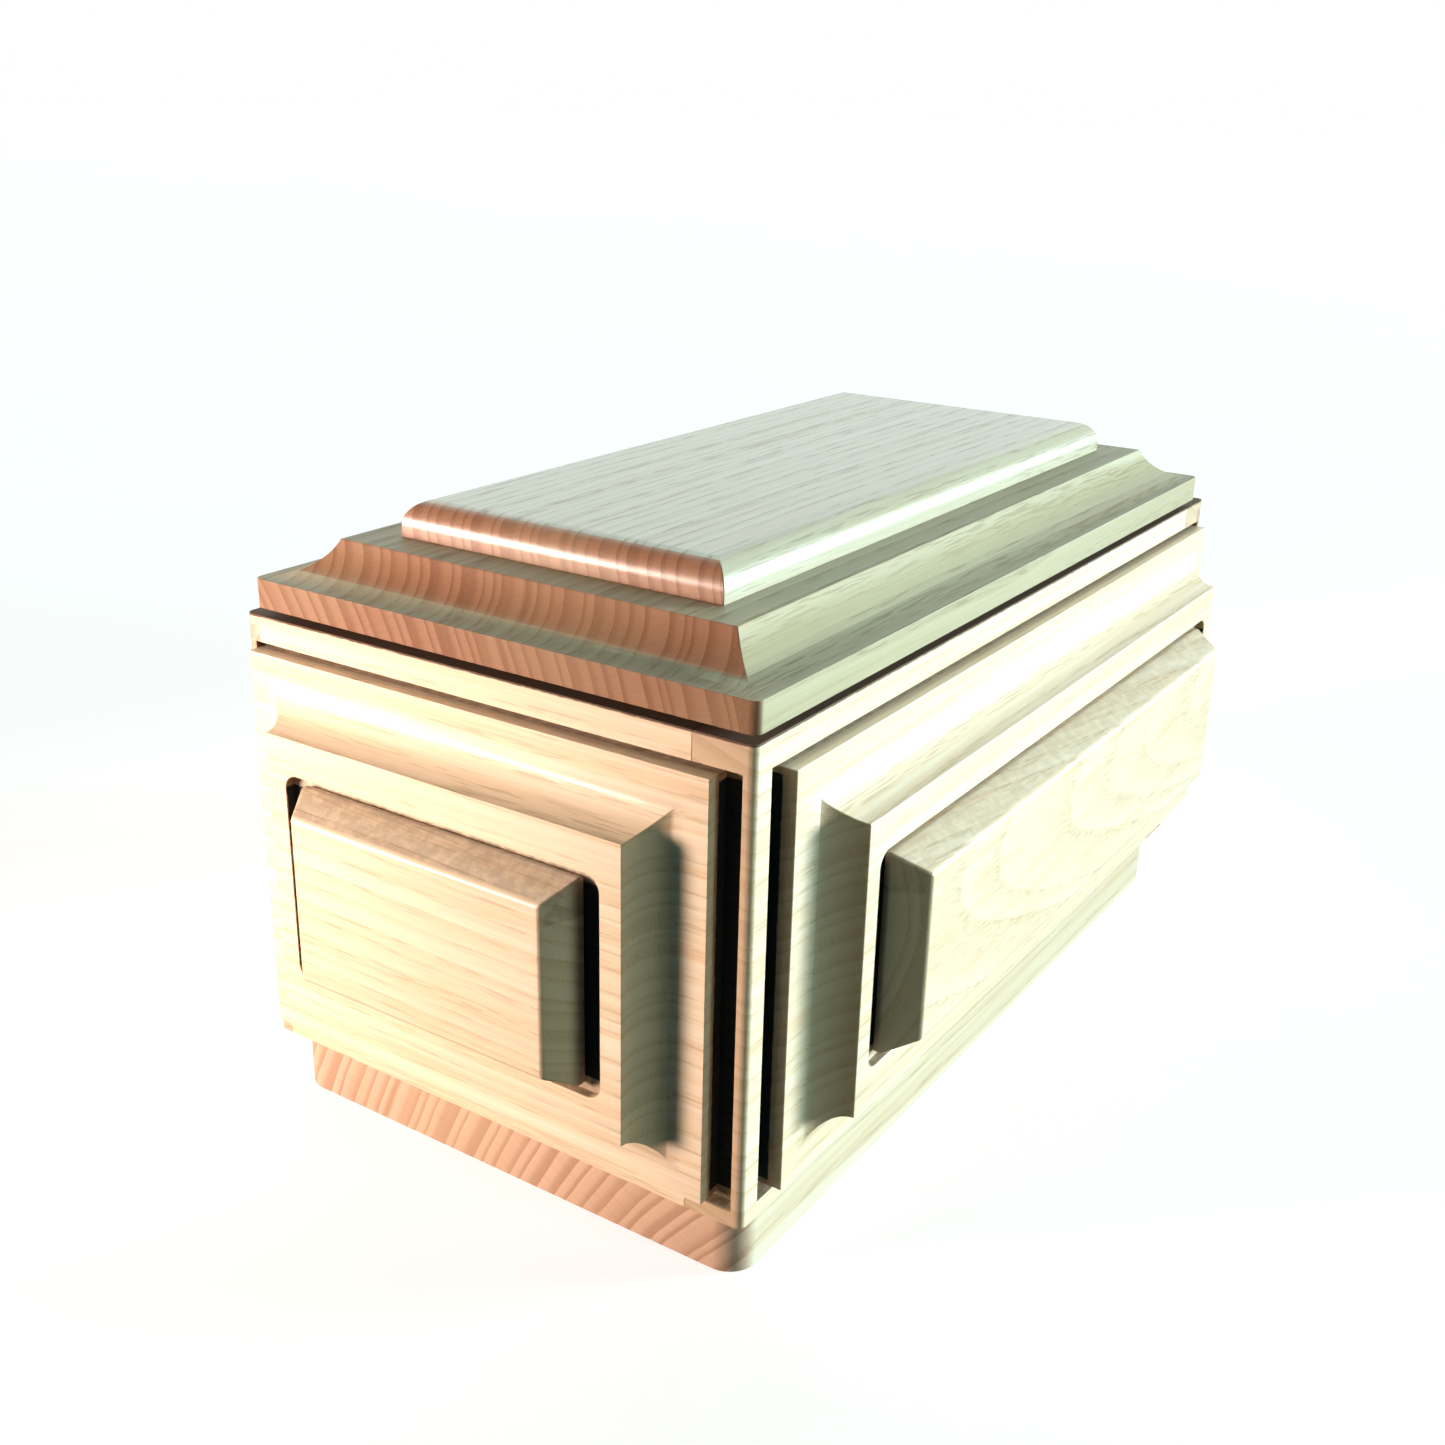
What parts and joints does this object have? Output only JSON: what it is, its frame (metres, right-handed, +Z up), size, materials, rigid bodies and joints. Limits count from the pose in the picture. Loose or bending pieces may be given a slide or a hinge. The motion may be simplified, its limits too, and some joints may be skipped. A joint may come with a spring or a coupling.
{
  "type": "wooden puzzle box",
  "caption": "Oblong hardwood puzzle box with moulded sliding panels, raised sliding blocks, hidden lock pins and a lift-off coved lid.",
  "frame": {"origin": "on the surface the box stands on, below the middle of the four walls, which is the middle of the whole object's outline", "axes": "+Z up, +Y along the length away from the front end, +X to the right of a person facing the front end; the front end faces -Y"},
  "size_m": [0.1476, 0.2446, 0.1235],
  "materials": {
    "ash_walls": "pale open-pored ash, satin oil",
    "ash_panels": "pale open-pored ash, satin oil",
    "ash_lid": "pale ash with reddish end grain, satin lacquer",
    "beech": "fine-grained beech, sanded",
    "birch_ply": "thin birch plywood, sanded",
    "brass": "plain turned brass",
    "steel": "zinc-plated steel screws"
  },
  "bodies": {
    "case": {"front_wall": "ash_walls", "right_wall": "ash_walls", "back_wall": "ash_walls", "left_wall": "ash_walls", "corner_dowels": "beech", "base_board": "ash_lid", "base_screws": "steel"},
    "lid": {"lid_board": "ash_lid", "lid_top_board": "ash_lid", "lid_spacer": "birch_ply", "lid_cleats": "beech", "cleat_screws": "steel", "top_board_screws": "steel"},
    "front_panel_slide": {"front_panel": "ash_panels", "front_guide_screws": "steel", "front_guide_washers": "brass"},
    "front_block_slide": {"front_block": "ash_panels", "front_key": "beech", "front_slider": "beech", "front_lock_pin": "brass", "front_key_screw": "steel"},
    "right_panel_slide": {"right_panel": "ash_panels", "right_guide_screws": "steel", "right_guide_washers": "brass"},
    "right_block_slide": {"right_block": "ash_panels", "right_key": "beech", "right_slider": "beech", "right_lock_pin": "brass", "right_key_screw": "steel"},
    "back_panel_slide": {"back_panel": "ash_panels", "back_guide_screws": "steel", "back_guide_washers": "brass"},
    "back_block_slide": {"back_block": "ash_panels", "back_key": "beech", "back_slider": "beech", "back_lock_pin": "brass", "back_key_screw": "steel"},
    "left_panel_slide": {"left_panel": "ash_panels", "left_guide_screws": "steel", "left_guide_washers": "brass"},
    "left_block_slide": {"left_block": "ash_panels", "left_key": "beech", "left_slider": "beech", "left_lock_pin": "brass", "left_key_screw": "steel"}
  },
  "joints": [
    {"name": "front_panel_joint", "type": "slide", "parent": "case", "child": "front_panel_slide", "axis": [1, 0, 0], "range_m": [0, 0.0043]},
    {"name": "front_block_joint", "type": "slide", "parent": "front_panel_slide", "child": "front_block_slide", "axis": [1, 0, 0], "range_m": [-0.0036, 0.0036]},
    {"name": "right_panel_joint", "type": "slide", "parent": "case", "child": "right_panel_slide", "axis": [0, -1, 0], "range_m": [0, 0.0035]},
    {"name": "right_block_joint", "type": "slide", "parent": "right_panel_slide", "child": "right_block_slide", "axis": [0, -1, 0], "range_m": [-0.0036, 0.0036]},
    {"name": "back_panel_joint", "type": "slide", "parent": "case", "child": "back_panel_slide", "axis": [-1, 0, 0], "range_m": [0, 0.0043]},
    {"name": "back_block_joint", "type": "slide", "parent": "back_panel_slide", "child": "back_block_slide", "axis": [-1, 0, 0], "range_m": [-0.0036, 0.0036]},
    {"name": "left_panel_joint", "type": "slide", "parent": "case", "child": "left_panel_slide", "axis": [0, 1, 0], "range_m": [0, 0.0035]},
    {"name": "left_block_joint", "type": "slide", "parent": "left_panel_slide", "child": "left_block_slide", "axis": [0, 1, 0], "range_m": [-0.0036, 0.0036]},
    {"name": "lid_lift", "type": "slide", "parent": "case", "child": "lid", "axis": [0, 0, 1], "range_m": [0, 0.06]}
  ]
}
